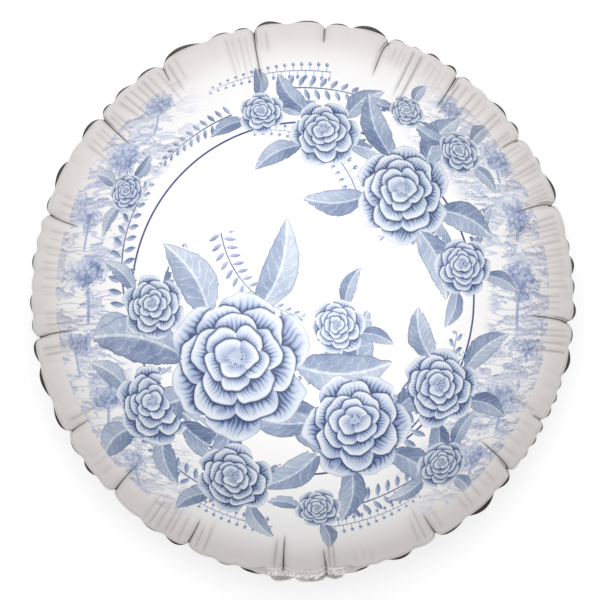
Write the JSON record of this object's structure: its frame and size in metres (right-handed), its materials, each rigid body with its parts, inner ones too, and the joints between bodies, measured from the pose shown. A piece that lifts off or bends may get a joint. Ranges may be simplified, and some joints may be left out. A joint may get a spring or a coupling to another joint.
{
  "type": "round foil balloon",
  "caption": "Filled round foil balloon lying on its back: white printed front sheet, silver back sheet, puckered welded edge and a folded filling tail.",
  "frame": {"origin": "middle of the small flat spot on the back sheet that the balloon rests on", "axes": "+Z out of the printed face, +Y up the print, the tail at -Y, +X to the right of the print"},
  "size_m": [0.3571, 0.3692, 0.1947],
  "materials": {
    "white_foil": "white satin film with a blue and grey print",
    "silver_foil": "bright metallised film"
  },
  "bodies": {
    "root": {"front_foil": "white_foil", "back_foil": "silver_foil"}
  },
  "joints": []
}
